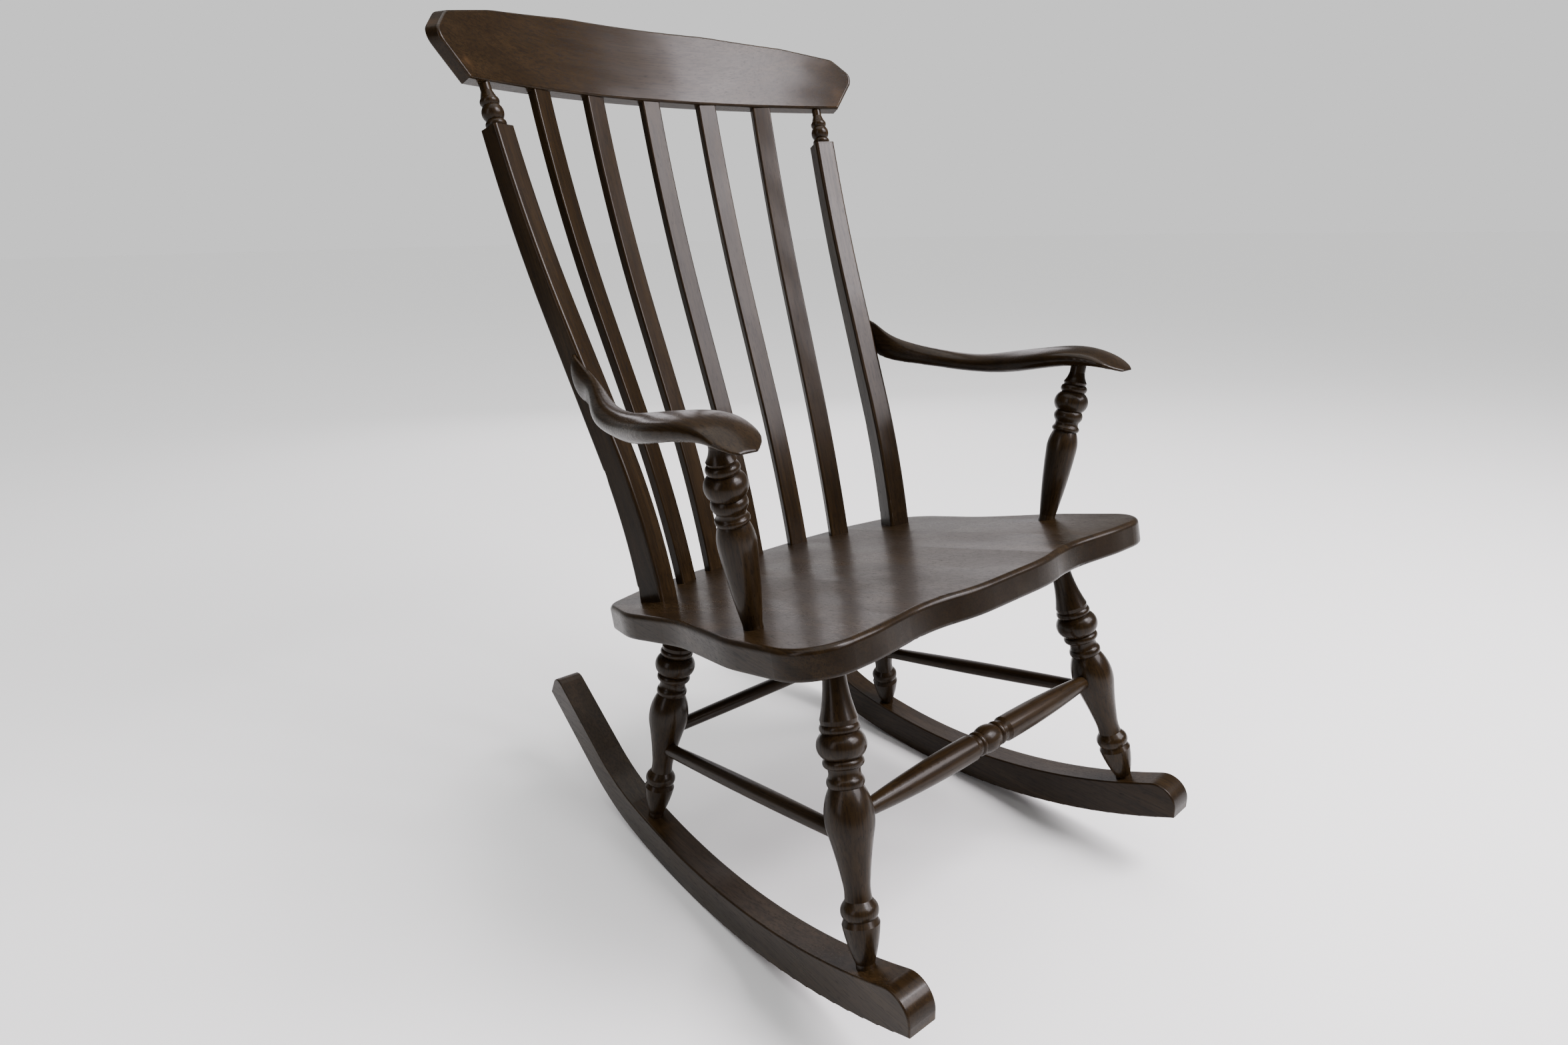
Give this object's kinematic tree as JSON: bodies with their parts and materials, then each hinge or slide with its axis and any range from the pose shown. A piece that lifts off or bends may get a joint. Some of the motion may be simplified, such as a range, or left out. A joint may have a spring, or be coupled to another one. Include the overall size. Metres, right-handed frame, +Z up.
{
  "type": "slat-back rocking chair",
  "caption": "Wooden rocking chair with a shaped plank seat, turned legs and arm posts, bent slats, a curved crest rail and scrolled arms.",
  "frame": {"origin": "on the floor where the rockers touch it, midway between them, with the chair as it rests when empty", "axes": "+Z up, the chair faces -Y, +X to the sitter's left"},
  "size_m": [0.6556, 0.7909, 1.0528],
  "materials": {
    "seat_wood": "satin lacquer over dark stain",
    "rocker_wood": "satin lacquer over dark stain",
    "back_wood": "satin lacquer over dark stain",
    "crest_wood": "satin lacquer over dark stain",
    "arm_wood": "satin lacquer over dark stain",
    "turned_wood": "satin lacquer over dark stain"
  },
  "bodies": {
    "root": {"seat": "seat_wood", "rocker_left": "rocker_wood", "rocker_right": "rocker_wood", "front_leg_left": "turned_wood", "front_leg_right": "turned_wood", "rear_leg_left": "turned_wood", "rear_leg_right": "turned_wood", "side_stretcher_left": "turned_wood", "side_stretcher_right": "turned_wood", "rear_stretcher": "turned_wood", "front_stretcher": "turned_wood", "arm_post_left": "turned_wood", "arm_post_right": "turned_wood", "slat_1": "back_wood", "slat_2": "back_wood", "slat_3": "back_wood", "slat_4": "back_wood", "slat_5": "back_wood", "back_post_left": "back_wood", "back_post_right": "back_wood", "crest_rail": "crest_wood", "arm_left": "arm_wood", "arm_right": "arm_wood"}
  },
  "joints": []
}
